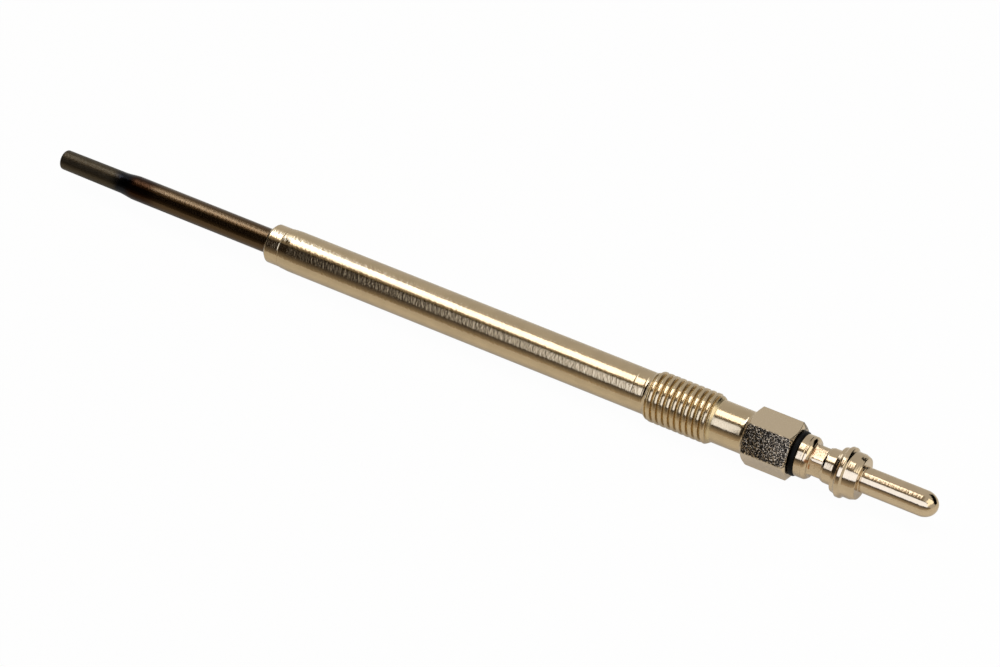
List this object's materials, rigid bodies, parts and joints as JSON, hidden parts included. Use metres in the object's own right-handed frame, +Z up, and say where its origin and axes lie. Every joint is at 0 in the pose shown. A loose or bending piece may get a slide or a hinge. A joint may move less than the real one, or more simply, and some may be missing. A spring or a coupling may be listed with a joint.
{
  "type": "diesel glow plug",
  "caption": "Slim metal-sheath diesel glow plug: swaged glow tube, long round body, short fine thread, hexagon, black insulating washer and a crimped terminal with a plain push-on pin.",
  "frame": {"origin": "on the surface that the plug lies on, under the middle of its length and its axis", "axes": "+X along the plug's axis from the hot tip towards the terminal, +Y level across it, +Z up out of the hexagon's top flat"},
  "size_m": [0.1536, 0.0092, 0.008],
  "materials": {
    "plated_housing": "warm bright nickel plating on turned steel",
    "oxidised_sheath": "satin dark brown oxide with heat tints at the swaged tip",
    "plated_terminal": "bright nickel plating with fine turning marks and crimp marks",
    "black_insulator": "smooth black moulding",
    "seal_rubber": "dull dark elastomer",
    "bare_steel": "drawn bright steel",
    "resistance_wire": "drawn resistance alloy wire",
    "packed_powder": "compacted matt white oxide powder"
  },
  "bodies": {
    "root": {"housing": "plated_housing", "glow_tube": "oxidised_sheath", "terminal": "plated_terminal", "insulating_washer": "black_insulator", "seal_ring": "seal_rubber", "tube_seal": "seal_rubber", "connecting_rod": "bare_steel", "heating_coil": "resistance_wire", "regulating_coil": "resistance_wire", "filling_powder": "packed_powder"}
  },
  "joints": []
}
